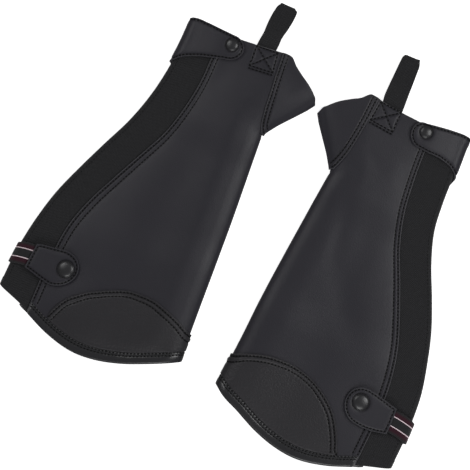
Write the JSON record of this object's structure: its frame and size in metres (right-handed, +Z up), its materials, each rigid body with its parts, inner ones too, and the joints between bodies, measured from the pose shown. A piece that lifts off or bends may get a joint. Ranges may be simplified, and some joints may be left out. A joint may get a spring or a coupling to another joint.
{
  "type": "pair of half chaps",
  "caption": "Pair of black half chaps laid flat: leather shafts with an elastic calf panel, half-moon patch, snap tabs and elastic stirrup loops.",
  "frame": {"origin": "middle of the pair's plan outline, on the surface it lies on", "axes": "+Z up from the surface; +Y toward the ankle ends, +X toward the right chap"},
  "size_m": [0.4711, 0.4666, 0.0212],
  "materials": {
    "leather": "smooth fine-grained black, matt",
    "patch_leather": "pebbled black, low sheen",
    "elastic": "black cross-ribbed elastic, matt",
    "webbing": "black striped elastic, matt",
    "binding": "thin black binding, soft gloss",
    "zip_tape": "woven black tape",
    "thread": "black polyester sewing thread",
    "snap": "glossy black enamel",
    "slider": "dark satin metal"
  },
  "bodies": {
    "root": {"left_body": "leather", "left_elastic": "elastic", "left_zip_tape": "zip_tape", "left_instep": "leather", "left_half_moon": "patch_leather", "left_binding": "binding", "left_ankle_tab": "leather", "left_calf_tab": "leather", "left_calf_strap": "webbing", "left_ankle_snap_cap": "snap", "left_ankle_snap_socket": "snap", "left_calf_snap_cap": "snap", "left_calf_snap_socket": "snap", "left_stirrup": "elastic", "left_zip_slider": "slider", "right_body": "leather", "right_elastic": "elastic", "right_zip_tape": "zip_tape", "right_instep": "leather", "right_half_moon": "patch_leather", "right_binding": "binding", "right_ankle_tab": "leather", "right_calf_tab": "leather", "right_calf_strap": "webbing", "right_ankle_snap_cap": "snap", "right_ankle_snap_socket": "snap", "right_calf_snap_cap": "snap", "right_calf_snap_socket": "snap", "right_stirrup": "elastic", "right_zip_slider": "slider"}
  },
  "joints": []
}
